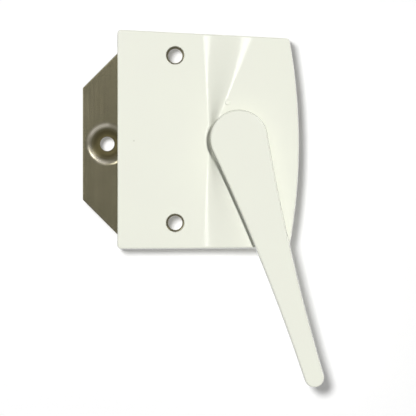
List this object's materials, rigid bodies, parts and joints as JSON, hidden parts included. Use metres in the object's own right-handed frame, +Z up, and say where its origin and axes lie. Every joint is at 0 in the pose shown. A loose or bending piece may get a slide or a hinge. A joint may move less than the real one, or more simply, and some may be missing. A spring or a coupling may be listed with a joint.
{
  "type": "casement sash lock",
  "caption": "Surface-mounted casement window lock: a tapered lever turns a cranked locking pawl behind a painted die-cast housing staked to a steel base plate with dished screw holes.",
  "frame": {"origin": "midway between the two frame screws, on the face of the window frame that the base plate's dished holes bear on", "axes": "+Z up the window frame, +X to the right as seen from the room, +Y into the frame, so that the room is at -Y"},
  "size_m": [0.0869, 0.0283, 0.1287],
  "materials": {
    "paint": "satin",
    "plate_steel": "satin",
    "acetal": "satin",
    "spring_steel": "satin",
    "zinc_plating": "satin"
  },
  "bodies": {
    "housing": {"housing": "paint", "base_plate": "plate_steel", "spindle_bush": "acetal"},
    "handle": {"lever_handle": "paint", "spring_washer": "spring_steel", "locking_pawl": "plate_steel", "pawl_washer": "zinc_plating", "lock_washer": "zinc_plating", "pawl_screw": "zinc_plating"}
  },
  "joints": [
    {"name": "handle_turn", "type": "hinge", "parent": "housing", "child": "handle", "pos_m": [0.0229, 0, 0], "axis": [0, -1, 0], "range_deg": [0, 144]}
  ]
}
